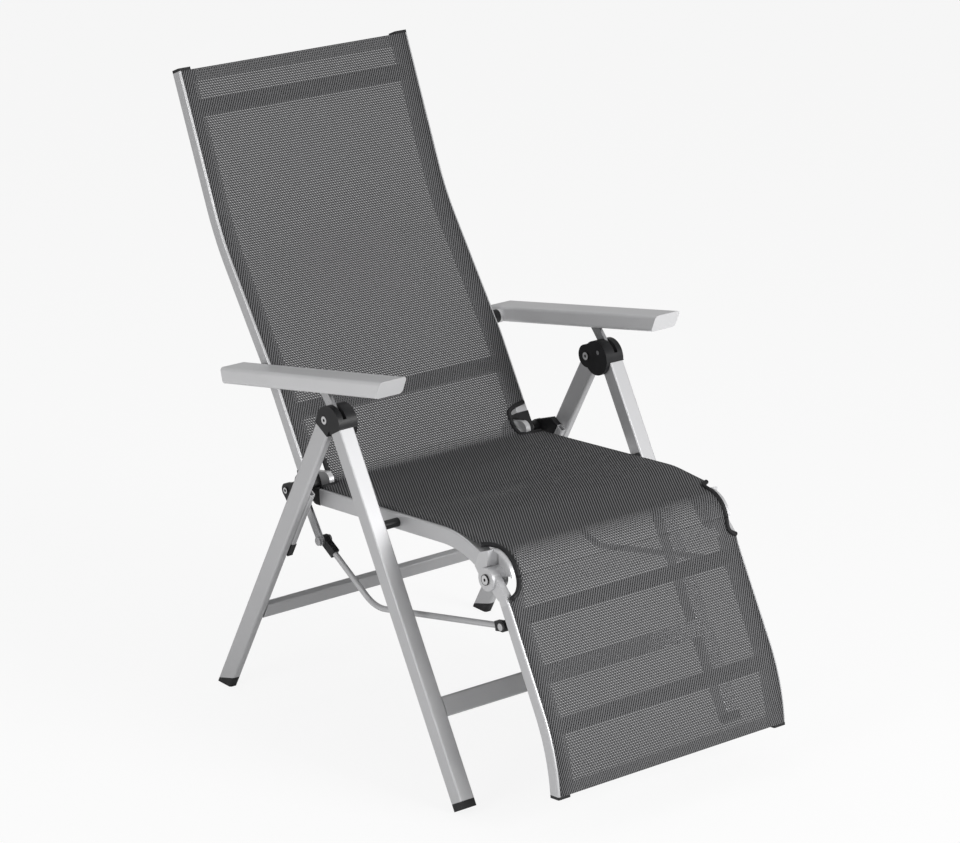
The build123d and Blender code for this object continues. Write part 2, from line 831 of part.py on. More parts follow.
top_bar_spot = go(back_end, back_end_heading, -top_bar_drop, back_half - bar_inset)
with BuildPart() as back_top_bar:
    with BuildSketch(layer(-rail_inner)):
        with Locations(Location(top_bar_spot, back_end_heading)):
            tube(back_bar_height, bar_depth, bar_wall, bar_corner)
    extrude(amount=2 * rail_inner)

lumbar_spot = go(back_second, back_heading, -lumbar_drop, back_half - bar_inset)
with BuildPart() as back_lower_bar:
    with BuildSketch(layer(-rail_inner)):
        with Locations(Location(lumbar_spot, back_heading)):
            tube(back_bar_height, bar_depth, bar_wall, bar_corner)
    extrude(amount=2 * rail_inner)

with BuildPart() as back_cap:
    with BuildSketch(across(back_end, back_end_heading, rail_mid)):
        RectangleRounded(rail_width, back_rail_depth, rail_corner)
    extrude(amount=back_cap_length)
    with BuildSketch(across(back_end, back_end_heading, rail_mid)):
        plug(rail_width, back_rail_depth, rail_wall, rail_corner)
    extrude(amount=-foot_tenon)

back_top_caps = both_sides(back_cap)

# Leg rest frame
leg_axis = (leg_rest_back, leg_rest_height)
leg_start = go(leg_axis, leg_rest_heading, leg_rest_start)
leg_bend = go(leg_axis, leg_rest_heading, leg_rest_straight)
leg_bend_centre = go(leg_bend, leg_rest_heading, 0, leg_rest_bend_radius)
leg_end_heading = leg_rest_heading + leg_rest_bend_angle
leg_end = go(leg_bend_centre, leg_end_heading, 0, -leg_rest_bend_radius)
leg_half = leg_rest_depth / 2

with BuildPart() as leg_rest_rail_left:
    with BuildLine(layer(rail_mid)):
        leg_run = Line(leg_start, leg_bend)
        JernArc(leg_bend, leg_run % 1, leg_rest_bend_radius, leg_rest_bend_angle)
    with BuildSketch(across(leg_start, leg_rest_heading, rail_mid)):
        tube(rail_width, leg_rest_depth, rail_wall, rail_corner)
    sweep()

leg_rest_rail_right = other_side(leg_rest_rail_left)

with BuildPart() as leg_rest_upper_bar:
    with BuildSketch(layer(-rail_inner)):
        bar_spot = go(leg_axis, leg_rest_heading, leg_bar_upper_run, bar_inset - leg_half)
        with Locations(Location(bar_spot, leg_rest_heading)):
            tube(bar_height, bar_depth, bar_wall, bar_corner)
    extrude(amount=2 * rail_inner)

lower_turn = degrees((leg_bar_lower_run - leg_rest_straight) / leg_rest_bend_radius)
lower_heading = leg_rest_heading + lower_turn
with BuildPart() as leg_rest_lower_bar:
    with BuildSketch(layer(-rail_inner)):
        bar_spot = go(
            leg_bend_centre, lower_heading, 0, bar_inset - leg_half - leg_rest_bend_radius
        )
        with Locations(Location(bar_spot, lower_heading)):
            tube(bar_height, bar_depth, bar_wall, bar_corner)
    extrude(amount=2 * rail_inner)

with BuildPart() as leg_cap:
    with BuildSketch(across(leg_end, leg_end_heading, rail_mid)):
        RectangleRounded(rail_width, leg_rest_depth, rail_corner)
    extrude(amount=leg_rest_cap_length)
    with BuildSketch(across(leg_end, leg_end_heading, rail_mid)):
        plug(rail_width, leg_rest_depth, rail_wall, rail_corner)
    extrude(amount=-cap_tenon)

leg_rest_caps = both_sides(leg_cap)

# Knee hinge
# The seat's casting closes the rail, carries the pin in an inner plate and bears the
# sling on a round band; the leg rest's arm turns outside that plate, within the band
knee_split = rail_inner + knee_plate_width
knee_outer = rail_reach + knee_arm_proud
rail_top = go(seat_front, seat_front_heading, 0, -seat_rail_depth / 2)
rail_low = go(seat_front, seat_front_heading, 0, seat_rail_depth / 2)
band_inner = knee_band_radius - knee_band_thickness
with BuildPart() as seat_knee_bracket:
    with BuildSketch(layer(rail_inner)):
        with BuildLine():
            Polyline(
                rail_top,
                rail_low,
                go(knee, seat_front_heading, 0, knee_disc_radius),
                go(knee, knee_band_first_angle, band_inner),
                go(knee, knee_band_first_angle, knee_band_radius),
                close=True,
            )
        make_face()
    extrude(amount=rail_width)
    with BuildSketch(layer(knee_split)):
        with Locations(knee):
            Circle(knee_disc_radius + 2 * side_gap)
    extrude(amount=rail_width, mode=Mode.SUBTRACT)
    with BuildSketch(layer(rail_inner)):
        with Locations(knee):
            Circle(knee_disc_radius)
        with BuildLine():
            Line(knee, go(knee, knee_band_first_angle, knee_band_radius))
            CenterArc(
                knee, knee_band_radius, knee_band_first_angle, knee_band_last_angle - knee_band_first_angle
            )
            Line(go(knee, knee_band_last_angle, knee_band_radius), knee)
        make_face()
    extrude(amount=knee_band_thickness)
    with BuildSketch(layer(rail_inner)):
        with Locations(knee):
            Circle(knee_disc_radius)
        with BuildLine():
            Line(
                go(knee, knee_band_first_angle, band_inner),
                go(knee, knee_band_first_angle, knee_band_radius),
            )
            CenterArc(
                knee, knee_band_radius, knee_band_first_angle, knee_band_last_angle - knee_band_first_angle
            )
            Line(
                go(knee, knee_band_last_angle, knee_band_radius),
                go(knee, knee_band_last_angle, band_inner),
            )
            CenterArc(knee, band_inner, knee_band_last_angle, knee_band_first_angle - knee_band_last_angle)
        make_face()
    extrude(amount=knee_plate_width)
    with BuildSketch(across(seat_front, seat_front_heading, rail_mid)):
        plug(rail_width, seat_rail_depth, rail_wall, rail_corner)
    extrude(amount=-knee_tongue)
    with BuildSketch(layer(rail_inner - cut_overrun)):
        with Locations(knee):
            Circle(knee_pin_radius + running_gap)
    extrude(amount=rail_reach, mode=Mode.SUBTRACT)

seat_knee_brackets = both_sides(seat_knee_bracket)

flange_start = go(leg_axis, leg_rest_heading, leg_rest_start - knee_flange)
front_of_knee = leg_rest_heading - 90
with BuildPart() as leg_knee_bracket:
    with BuildSketch(layer(knee_split + side_gap)):
        with Locations(knee):
            Circle(knee_disc_radius)
        with BuildLine():
            Polyline(
                go(knee, front_of_knee, knee_disc_radius),
                go(flange_start, leg_rest_heading, 0, -leg_half),
                go(flange_start, leg_rest_heading, 0, leg_half),
                go(knee, front_of_knee, -knee_disc_radius / 2),
                close=True,
            )
        make_face()
    extrude(amount=rail_reach - knee_split - side_gap)
    with BuildSketch(layer(rail_reach)):
        with Locations(knee):
            Circle(knee_disc_radius)
    extrude(amount=knee_arm_proud)
    with BuildSketch(across(flange_start, leg_rest_heading, rail_mid)):
        RectangleRounded(rail_width, leg_rest_depth, rail_corner)
    extrude(amount=knee_flange)
    with BuildSketch(across(leg_start, leg_rest_heading, rail_mid)):
        plug(rail_width, leg_rest_depth, rail_wall, rail_corner)
    extrude(amount=knee_tongue)
    with BuildSketch(layer(rail_inner)):
        with Locations(knee):
            Circle(knee_pin_radius + running_gap)
    extrude(amount=arm_width, mode=Mode.SUBTRACT)

leg_rest_knee_brackets = both_sides(leg_knee_bracket)

with BuildPart() as knee_pin:
    with BuildSketch(layer(rail_inner - knee_head)):
        with Locations(knee):
            Circle(knee_head_radius)
    extrude(amount=knee_head - running_gap)
    with BuildSketch(layer(rail_inner - knee_head)):
        with Locations(knee):
            Circle(knee_pin_radius)
    extrude(amount=knee_outer + knee_head - rail_inner + knee_head)
    with BuildSketch(layer(knee_outer + running_gap)):
        with Locations(knee):
            Circle(knee_head_radius)
    extrude(amount=knee_head - running_gap)
    with BuildSketch(layer(knee_outer + knee_head / 2)):
        with Locations(knee):
            Circle(rivet_dimple_radius)
    extrude(amount=knee_head, mode=Mode.SUBTRACT)

knee_pins = both_sides(knee_pin)

# Link rods
# Bent tubes, inside the levers, that run with one smooth bend to lugs behind the leg rest
rod_outer = lever_inner - side_gap
rod_inner = rod_outer - rod_eye_width
rod_middle = (rod_inner + rod_outer) / 2
rod_bend = (rod_bend_back, rod_bend_height)
rod_end = go(leg_axis, leg_rest_heading, rod_lug_run, leg_half + rod_lug_reach)
rod_rear_heading = heading_to(lever_pin, rod_bend)
rod_front_heading = heading_to(rod_bend, rod_end)
rod_rear = go(lever_pin, rod_rear_heading, rod_sleeve_length / 2)
rod_front = go(rod_end, rod_front_heading, -rod_eye_radius)
with BuildPart() as link_rod:
    with BuildLine(layer(rod_middle)):
        FilletPolyline(rod_rear, rod_bend, rod_front, radius=rod_bend_radius)
    with BuildSketch(across(rod_rear, rod_rear_heading, rod_middle)):
        Circle(rod_radius)
        Circle(rod_radius - rod_wall, mode=Mode.SUBTRACT)
    sweep()

link_rods = both_sides(link_rod)

with BuildPart() as rod_sleeve:
    with BuildSketch(layer(rod_inner)):
        with Locations(lever_pin):
            Circle(rod_eye_radius)
        with Locations(
            Location(go(lever_pin, rod_rear_heading, rod_sleeve_length / 2), rod_rear_heading)
        ):
            Rectangle(rod_sleeve_length, 2 * rod_sleeve_radius)
    extrude(amount=rod_eye_width)
    with BuildSketch(across(rod_rear, rod_rear_heading, rod_middle)):
        Circle(rod_radius)
    extrude(amount=rod_sleeve_length, mode=Mode.SUBTRACT)
    lock_spot = go(lever_pin, rod_rear_heading, rod_sleeve_length / 3)
    with BuildSketch(across(lock_spot, rod_rear_heading + 90, rod_middle)):
        Circle(lock_pin_radius)
    extrude(amount=-lock_pin_length / 2)
    with BuildSketch(layer(rod_inner)):
        with Locations(lever_pin):
            Circle(rod_bolt_radius + running_gap)
    extrude(amount=arm_width, mode=Mode.SUBTRACT)

rod_sleeves = both_sides(rod_sleeve)

with BuildPart() as rod_end_fitting:
    with BuildSketch(layer(rod_inner)):
        with Locations(rod_end):
            Circle(rod_eye_radius)
        with Locations(
            Location(go(rod_end, rod_front_heading, -rod_sleeve_length / 4), rod_front_heading)
        ):
            Rectangle(rod_sleeve_length / 2, 2 * rod_sleeve_radius)
    extrude(amount=rod_eye_width)
    with BuildSketch(across(rod_front, rod_front_heading, rod_middle)):
        Circle(rod_radius)
    extrude(amount=-rod_sleeve_length, mode=Mode.SUBTRACT)
    with BuildSketch(layer(rod_inner)):
        with Locations(rod_end):
            Circle(rod_bolt_radius)
    extrude(amount=arm_width, mode=Mode.SUBTRACT)

rod_end_fittings = both_sides(rod_end_fitting)

with BuildPart() as lever_bolt:
    with BuildSketch(layer(rod_inner - lever_bolt_head)):
        with Locations(lever_pin):
            Circle(lever_bolt_head_radius)
    extrude(amount=lever_bolt_head - running_gap)
    with BuildSketch(layer(rod_inner - lever_bolt_head)):
        with Locations(lever_pin):
            Circle(rod_bolt_radius)
    extrude(amount=lever_outer + lever_bolt_head - rod_inner + lever_bolt_head)
    with BuildSketch(layer(lever_outer + running_gap)):
        with Locations(lever_pin):
            Circle(lever_bolt_head_radius)
    extrude(amount=lever_bolt_head - running_gap)

lever_bolts = both_sides(lever_bolt)

with BuildPart() as rod_end_bolt:
    with BuildSketch(layer(rod_inner)):
        with Locations(rod_end):
            Circle(rod_bolt_radius)
    extrude(amount=rod_eye_width)
    with BuildSketch(layer(rod_outer)):
        with Locations(rod_end):
            Circle(rod_bolt_head_radius)
    extrude(amount=rod_bolt_head)

rod_end_bolts = both_sides(rod_end_bolt)

# Lugs behind the leg-rest rails, beside the inner faces of the rods' eyes
lug_foot = go(leg_axis, leg_rest_heading, rod_lug_run, leg_half)
with BuildPart() as leg_rod_lug:
    with BuildSketch(layer(rod_inner - side_gap - rod_lug_thickness)):
        with Locations(rod_end):
            Circle(rod_eye_radius)
        with BuildLine():
            Polyline(
                go(lug_foot, leg_rest_heading, -2 * rod_eye_radius),
                go(lug_foot, leg_rest_heading, 2 * rod_eye_radius),
                go(rod_end, leg_rest_heading, rod_eye_radius),
                go(rod_end, leg_rest_heading, -rod_eye_radius),
                close=True,
            )
        make_face()
    extrude(amount=rod_lug_thickness)
    with BuildSketch(layer(rail_inner)):
        with Locations(rod_end):
            Circle(rod_bolt_radius + side_gap)
    extrude(amount=rail_width, mode=Mode.SUBTRACT)

leg_rod_lugs = both_sides(leg_rod_lug)

# Armrests
arm_axis_left = arm_rear_drop - arm_height / 2
arm_rear_low = go(arm_pivot, arm_heading, -arm_rear_run, arm_rear_drop)
arm_rear_high = go(arm_pivot, arm_heading, -arm_rear_run - arm_rear_slant, arm_rear_drop - arm_height)
arm_front_low = go(arm_pivot, arm_heading, arm_front_run, arm_rear_drop)
arm_front_high = go(arm_pivot, arm_heading, arm_front_run + arm_front_slant, arm_rear_drop - arm_height)
arm_length = arm_rear_run + arm_rear_slant + arm_front_run + arm_front_slant
rack_middle = strut_inner + strut_thickness / 2
rack_low = go(arm_pivot, arm_heading, rack_start_run, arm_rear_drop + rack_proud)
arm_back_end = go(arm_pivot, arm_heading, -arm_rear_run - arm_rear_slant, arm_axis_left)
arm_hollow_start = go(arm_pivot, arm_heading, arm_hollow_margin - arm_rear_run, arm_axis_left)
rack_slot_spot = go(arm_pivot, arm_heading, rack_start_run + rack_length / 2, arm_rear_drop)
rack_spot = go(rack_low, arm_heading, rack_length / 2, -rack_height / 2)
groove_spot = go(rack_low, arm_heading, rack_length / 2, -(rack_height - rack_roof) / 2)
with BuildPart() as armrest_left:
    with BuildSketch(across(arm_back_end, arm_heading, arm_mid)):
        RectangleRounded(arm_width, arm_height, arm_corner)
    extrude(amount=arm_length)
    with BuildSketch(layer(arm_inner)):
        with BuildLine():
            Polyline(arm_rear_low, arm_rear_high, arm_front_high, arm_front_low, close=True)
        make_face()
    extrude(amount=arm_width, mode=Mode.INTERSECT)
    with BuildSketch(across(arm_hollow_start, arm_heading, arm_mid)):
        RectangleRounded(
            arm_width - 2 * arm_wall, arm_height - 2 * arm_wall, arm_corner - arm_wall
        )
    extrude(amount=arm_front_run + arm_rear_run - 2 * arm_hollow_margin, mode=Mode.SUBTRACT)
    with BuildSketch(layer(rack_middle - rack_width / 2)):
        with Locations(Location(rack_slot_spot, arm_heading)):
            Rectangle(rack_length, 2 * arm_wall + cut_overrun)
    extrude(amount=rack_width, mode=Mode.SUBTRACT)
    with BuildSketch(layer(arm_inner - arm_lug_thickness)):
        with Locations(arm_pivot):
            Circle(arm_lug_radius)
    extrude(amount=arm_lug_thickness + arm_wall)
    with BuildSketch(layer(arm_inner - arm_lug_thickness)):
        with Locations(arm_pivot):
            Circle(arm_pin_radius + running_gap)
    extrude(amount=arm_lug_thickness + arm_pin_depth + running_gap, mode=Mode.SUBTRACT)

armrest_right = other_side(armrest_left)

# Racks: grooved strips let into the undersides, with rounded teeth in the groove's roof
with BuildPart() as arm_rack_left:
    with BuildSketch(layer(rack_middle - rack_width / 2)):
        with Locations(Location(rack_spot, arm_heading)):
            Rectangle(rack_length, rack_height)
    extrude(amount=rack_width)
    with BuildSketch(layer(rack_middle - rack_groove / 2)):
        with Locations(Location(groove_spot, arm_heading)):
            Rectangle(rack_length - 2 * rack_roof, rack_height - rack_roof)
    extrude(amount=rack_groove, mode=Mode.SUBTRACT)
    with BuildSketch(layer(rack_middle - rack_groove / 2)):
        for tooth in range(rack_teeth):
            tooth_run = rack_length / 2 + (tooth - (rack_teeth - 1) / 2) * rack_tooth_pitch
            with Locations(go(rack_low, arm_heading, tooth_run, rack_roof - rack_height)):
                Circle(rack_tooth_radius)
    extrude(amount=rack_groove)
    with BuildSketch(layer(rack_middle - rack_width)):
        with Locations(Location(go(rack_spot, arm_heading, 0, -rack_height), arm_heading)):
            Rectangle(rack_length + cut_overrun, rack_height)
    extrude(amount=2 * rack_width, mode=Mode.SUBTRACT)

arm_rack_right = other_side(arm_rack_left)

# Arm pivots: a pin in the back rail, and a collar turning on it inside the armrest's lug
pin_inner = rail_reach - rail_wall - side_gap
collar_inner = rail_reach + 2 * side_gap + arm_washer_thickness
collar_outer = arm_inner - arm_lug_thickness - side_gap
with BuildPart() as arm_pivot_pin_left:
    with BuildSketch(layer(pin_inner - arm_washer_thickness)):
        with Locations(arm_pivot):
            Circle(arm_pin_radius)
    extrude(amount=arm_inner + arm_pin_depth - pin_inner + arm_washer_thickness)
    with BuildSketch(layer(rail_reach + side_gap)):
        with Locations(arm_pivot):
            Circle(arm_washer_radius)
    extrude(amount=arm_washer_thickness)

arm_pivot_pin_right = other_side(arm_pivot_pin_left)

with BuildPart() as arm_pivot_bracket_left:
    with BuildSketch(layer(collar_inner)):
        with Locations(arm_pivot):
            Circle(arm_lug_radius)
            Circle(arm_pin_radius + running_gap, mode=Mode.SUBTRACT)
    extrude(amount=collar_outer - collar_inner)

arm_pivot_bracket_right = other_side(arm_pivot_bracket_left)

# Sling
# Three runs of mesh: along the back, along the seat and over the knee bands, and down
# the leg rest, each cut away round the hinges beside it
mesh_width = 2 * (rail_reach - sling_margin)
mesh_half = mesh_thickness / 2

back_mesh_foot = go(back_first, back_heading, back_mesh_start)
with BuildPart() as back_sling:
    with BuildLine(layer(0)):
        FilletPolyline(
            back_mesh_foot,
            back_second,
            back_third,
            back_end,
            radius=[back_lower_bend, back_upper_bend],
        )
    with BuildSketch(across(back_mesh_foot, back_heading, 0)):
        with Locations((0, -back_half - mesh_half)):
            Rectangle(mesh_width, mesh_thickness)
    sweep()
    for side in (back_cut_reach, -back_cut_reach - 2 * rail_width - cut_overrun):
        with BuildSketch(layer(side)):
            with Locations(back_pivot):
                Circle(back_cut_radius)
        extrude(amount=2 * rail_width + cut_overrun, mode=Mode.SUBTRACT)

seat_top = seat_rail_depth / 2 + mesh_half
seat_mesh_rear = go(seat_rear, seat_heading, -seat_mesh_overhang, -seat_top)
seat_mesh_bend = go(seat_bend, seat_heading, 0, -seat_top)
bend_reach = seat_bend_radius + seat_top
band_reach = knee_band_radius + mesh_half
wrap_first = heading_to(seat_bend_centre, knee) - degrees(
    acos((bend_reach - band_reach) / distance(seat_bend_centre, knee))
)
with BuildPart() as seat_sling:
    with BuildLine(layer(0)):
        mesh_run = Line(seat_mesh_rear, seat_mesh_bend)
        mesh_bend = JernArc(
            seat_mesh_bend, mesh_run % 1, bend_reach, wrap_first + 90 - seat_heading
        )
        mesh_bridge = Line(mesh_bend @ 1, go(knee, wrap_first, band_reach))
        JernArc(mesh_bridge @ 1, mesh_bridge % 1, band_reach, knee_band_last_angle - wrap_first)
    with BuildSketch(across(seat_mesh_rear, seat_heading, 0)):
        Rectangle(mesh_width, mesh_thickness)
    sweep()
    for side in (knee_cut_reach, -knee_cut_reach - rail_width - cut_overrun):
        with BuildSketch(layer(side)):
            with Locations(knee):
                Circle(knee_cut_radius)
        extrude(amount=rail_width + cut_overrun, mode=Mode.SUBTRACT)
    for side in (back_cut_reach, -back_cut_reach - 2 * rail_width - cut_overrun):
        with BuildSketch(layer(side)):
            with Locations(back_pivot):
                Circle(back_cut_radius)
        extrude(amount=2 * rail_width + cut_overrun, mode=Mode.SUBTRACT)

leg_mesh_top = go(leg_axis, leg_rest_heading, leg_mesh_start)
with BuildPart() as leg_sling:
    with BuildLine(layer(0)):
        mesh_run = Line(leg_mesh_top, leg_bend)
        JernArc(leg_bend, mesh_run % 1, leg_rest_bend_radius, leg_rest_bend_angle)
    with BuildSketch(across(leg_mesh_top, leg_rest_heading, 0)):
        with Locations((0, leg_half + mesh_half)):
            Rectangle(mesh_width, mesh_thickness)
    sweep()
    for side in (knee_cut_reach, -knee_cut_reach - rail_width - cut_overrun):
        with BuildSketch(layer(side)):
            with Locations(knee):
                Circle(knee_cut_radius)
        extrude(amount=rail_width + cut_overrun, mode=Mode.SUBTRACT)

# One file per piece
pieces = {
    "front_leg_left": front_leg_left,
    "front_leg_right": front_leg_right,
    "front_stretcher": front_stretcher,
    "front_feet": front_feet,
    "front_hinge_head_left": front_hinge_head_left,
    "front_hinge_head_right": front_hinge_head_right,
    "arm_struts": arm_struts,
    "leg_hinge_rivets": leg_hinge_rivets,
    "seat_pivot_bushes": seat_pivot_bushes,
    "seat_pivot_bolts": seat_pivot_bolts,
    "rear_leg_left": rear_leg_left,
    "rear_leg_right": rear_leg_right,
    "rear_stretcher": rear_stretcher,
    "rear_feet": rear_feet,
    "rear_hinge_head_left": rear_hinge_head_left,
    "rear_hinge_head_right": rear_hinge_head_right,
    "slide_carriage_left": slide_carriage_left,
    "slide_carriage_right": slide_carriage_right,
    "carriage_rivets": carriage_rivets,
    "slide_strips": slide_strips,
    "slide_tips": slide_tips,
    "seat_rail_left": seat_rail_left,
    "seat_rail_right": seat_rail_right,
    "seat_front_bar": seat_front_bar,
    "seat_rear_bar": seat_rear_bar,
    "seat_end_caps": seat_end_caps,
    "seat_hinge_plates": seat_hinge_plates,
    "seat_knee_brackets": seat_knee_brackets,
    "seat_sling": seat_sling,
    "back_hinge_pins": back_hinge_pins,
    "back_rail_left": back_rail_left,
    "back_rail_right": back_rail_right,
    "back_top_bar": back_top_bar,
    "back_lower_bar": back_lower_bar,
    "back_top_caps": back_top_caps,
    "back_hinge_brackets": back_hinge_brackets,
    "recline_levers": recline_levers,
    "back_sling": back_sling,
    "knee_pins": knee_pins,
    "leg_rest_rail_left": leg_rest_rail_left,
    "leg_rest_rail_right": leg_rest_rail_right,
    "leg_rest_upper_bar": leg_rest_upper_bar,
    "leg_rest_lower_bar": leg_rest_lower_bar,
    "leg_rest_caps": leg_rest_caps,
    "leg_rest_knee_brackets": leg_rest_knee_brackets,
    "leg_rod_lugs": leg_rod_lugs,
    "leg_sling": leg_sling,
    "lever_bolts": lever_bolts,
    "link_rods": link_rods,
    "rod_sleeves": rod_sleeves,
    "rod_end_fittings": rod_end_fittings,
    "rod_end_bolts": rod_end_bolts,
    "armrest_left": armrest_left,
    "armrest_right": armrest_right,
    "arm_rack_left": arm_rack_left,
    "arm_rack_right": arm_rack_right,
    "arm_pivot_bracket_left": arm_pivot_bracket_left,
    "arm_pivot_bracket_right": arm_pivot_bracket_right,
    "arm_pivot_pin_left": arm_pivot_pin_left,
    "arm_pivot_pin_right": arm_pivot_pin_right,
}
for node, piece in pieces.items():
    piece.part.label = node
    export_step(piece.part, f"parts/{node}.step")
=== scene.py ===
# %% [markdown]
# A reclining garden armchair, dressed for a studio picture.
# The CAD model is the frame: every tube, casting, rivet and link is already in its place,
# in metres, with the chair facing -Y and the floor at z = 0. This script never moves those
# solids. It gives each one a finish, and it makes what CAD leaves plain: the woven mesh,
# the piping round its cut-outs, and the light.

# %% Load the frame
from math import atan2, cos, hypot, pi, radians, sin, tan

import bmesh
import bpy
from mathutils import Matrix, Vector


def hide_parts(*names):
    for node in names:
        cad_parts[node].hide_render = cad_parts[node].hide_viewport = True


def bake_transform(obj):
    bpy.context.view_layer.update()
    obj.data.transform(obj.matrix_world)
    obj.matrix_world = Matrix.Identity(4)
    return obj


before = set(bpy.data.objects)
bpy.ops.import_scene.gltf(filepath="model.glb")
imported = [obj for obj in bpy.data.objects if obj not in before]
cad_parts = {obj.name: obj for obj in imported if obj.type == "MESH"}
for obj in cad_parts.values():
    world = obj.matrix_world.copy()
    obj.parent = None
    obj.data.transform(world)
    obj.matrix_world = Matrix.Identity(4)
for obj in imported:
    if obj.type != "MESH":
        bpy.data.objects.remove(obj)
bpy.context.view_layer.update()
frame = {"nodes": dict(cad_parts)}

# %% [markdown]
# Nearly all of this chair is drawn in its side view, so places are written as (depth,
# height) in millimetres, which are easier to read than metres with many noughts. The depth
# grows towards the back, and MIDDLE is the depth of the frame's origin. Only the last step
# of each shape turns them into metres.

# %% Units and the frame's middle
MM = 0.001
MIDDLE = 30.19
print("one millimetre is", MM, "m")

# %% [markdown]
# Shader maths reads best as plain arithmetic. Wire wraps one output socket, so that
# `1 - mask` or `flake * 0.4 + 0.6` adds the Math nodes by itself. Bench is the place where
# a material, or the world's background, is put together. Its method node takes a node's
# type, then its settings, then the values or links of its sockets. The other methods are
# short names for what nearly every finish here needs: a place on the piece, a grain, a mix
# of two colours, and relief.

# %% A wire that does sums, and a bench to build on
class Wire:
    """One output socket of a shader node, on which arithmetic works."""

    def __init__(self, bench, socket):
        self.bench, self.socket = bench, socket

    def maths(self, operation, first, second=0.0):
        return self.bench.node("ShaderNodeMath", {"operation": operation}, {0: first, 1: second})

    def __add__(self, other):
        return self.maths("ADD", self, other)

    def __sub__(self, other):
        return self.maths("SUBTRACT", self, other)

    def __rsub__(self, other):
        return self.maths("SUBTRACT", other, self)

    def __mul__(self, other):
        return self.maths("MULTIPLY", self, other)

    def __truediv__(self, other):
        return self.maths("DIVIDE", self, other)

    def __pow__(self, other):
        return self.maths("POWER", self, other)

    def __lt__(self, other):
        return self.maths("LESS_THAN", self, other)

    def __gt__(self, other):
        return self.maths("GREATER_THAN", self, other)

    __radd__ = __add__
    __rmul__ = __mul__

    def floor(self):
        return self.maths("FLOOR", self)

    def part(self):
        return self.maths("FRACT", self)

    def size(self):
        return self.maths("ABSOLUTE", self)

    def root(self):
        return self.maths("SQRT", self)

    def clip(self):
        return self.bench.node("ShaderNodeClamp", {}, {"Value": self})


class Bench:
    """A material, or the world's background, under construction."""

    def __init__(self, made):
        self.made = made
        self.made.use_nodes = True
        self.tree = self.made.node_tree
        self.tree.nodes.clear()

    def node(self, kind, settings, inputs, out=0):
        """A node, from its type, settings and inputs: its chosen output, as a Wire."""
        made = self.tree.nodes.new(kind)
        for key, value in settings.items():
            setattr(made, key, value)
        for key, value in inputs.items():
            if isinstance(value, Wire):
                self.tree.links.new(value.socket, made.inputs[key])
            else:
                made.inputs[key].default_value = value
        return Wire(self, made.outputs[out])

    def close(self, shader, end="ShaderNodeOutputMaterial"):
        """Link the last shader to the output."""
        made = self.tree.nodes.new(end)
        self.tree.links.new(shader.socket, made.inputs["Surface"])
        return self.made

    def finish(self, **sockets):
        """End the material with one Principled shader."""
        named = {key.replace("_", " "): value for key, value in sockets.items()}
        return self.close(self.node("ShaderNodeBsdfPrincipled", {}, named))

    def place(self):
        return self.node("ShaderNodeTexCoord", {}, {}, "Object")

    def axis(self, place, number):
        """One coordinate of a place: 0, 1 or 2."""
        return self.node("ShaderNodeSeparateXYZ", {}, {0: place}, number)

    def grain(self, scale, detail=2.0, stretch=(1, 1, 1)):
        spot = self.node("ShaderNodeMapping", {}, {"Vector": self.place(), "Scale": stretch})
        return self.node(
            "ShaderNodeTexNoise", {}, {"Vector": spot, "Scale": scale, "Detail": detail}
        )

    def between(self, mask, low, high):
        """Two colours mixed by a mask."""
        return self.node(
            "ShaderNodeMix", {"data_type": "RGBA"}, {0: mask, 6: (*low, 1), 7: (*high, 1)}, 2
        )

    def relief(self, height, depth, strength=1.0):
        return self.node(
            "ShaderNodeBump", {}, {"Height": height, "Distance": depth, "Strength": strength}
        )


def material_bench(name):
    return Bench(bpy.data.materials.new(name))


print("bench ready")

# %% [markdown]
# The side frames are aluminium tubes sprayed silver. A plain metal shader would be a
# mirror, and a plain grey one would look like plastic. Close to, such paint is a fine
# sparkle of flake under a satin varnish: light in tone, a little metallic. So one recipe
# with noise at two sizes gives the flake and the faint unevenness of the spray. The
# armrests are a lighter silver, and the castings at the hinges have a coarser skin.

# %% Silver finishes
def silver(name, tone, flake, metal, rough, skin):
    """Sprayed aluminium: flake, a drift in the tone and a fine skin."""
    b = material_bench(name)
    drift = b.grain(9, 3)
    speck = b.grain(flake, 1)
    mask = (drift * 0.6 + speck * 0.4).clip()
    low = tuple(c * 0.92 for c in tone)
    high = tuple(min(1, c * 1.07) for c in tone)
    return b.finish(
        Base_Color=b.between(mask, low, high),
        Metallic=metal,
        Roughness=(speck * 0.16 + (rough - 0.08)).clip(),
        Coat_Weight=0.15,
        Coat_Roughness=0.25,
        Normal=b.relief(speck, skin, 0.35),
    )


tube_silver = silver("tube_silver", (0.60, 0.60, 0.61), 1800, 0.45, 0.40, 0.00004)
arm_silver = silver("arm_silver", (0.76, 0.76, 0.77), 1500, 0.40, 0.42, 0.00004)
cast_silver = silver("cast_silver", (0.66, 0.66, 0.67), 900, 0.50, 0.36, 0.0001)
print("silvers made")

# %% [markdown]
# The small steel pieces are zinc plated. They are darker and more mirror-like than the
# spray, with a soft cloud in the plating and fine turning marks. The marks are the same
# noise as a grain, only stretched, so no image is needed.

# %% Plated steel
def plated_steel():
    b = material_bench("plated_steel")
    cloud = b.grain(60, 3)
    marks = b.grain(500, 1, (1, 6, 6))
    return b.finish(
        Base_Color=b.between(cloud, (0.50, 0.50, 0.51), (0.68, 0.68, 0.69)),
        Metallic=0.85,
        Roughness=(marks * 0.18 + 0.20).clip(),
        Normal=b.relief(marks, 0.00003, 0.4),
    )


steel = plated_steel()
print("steel made")
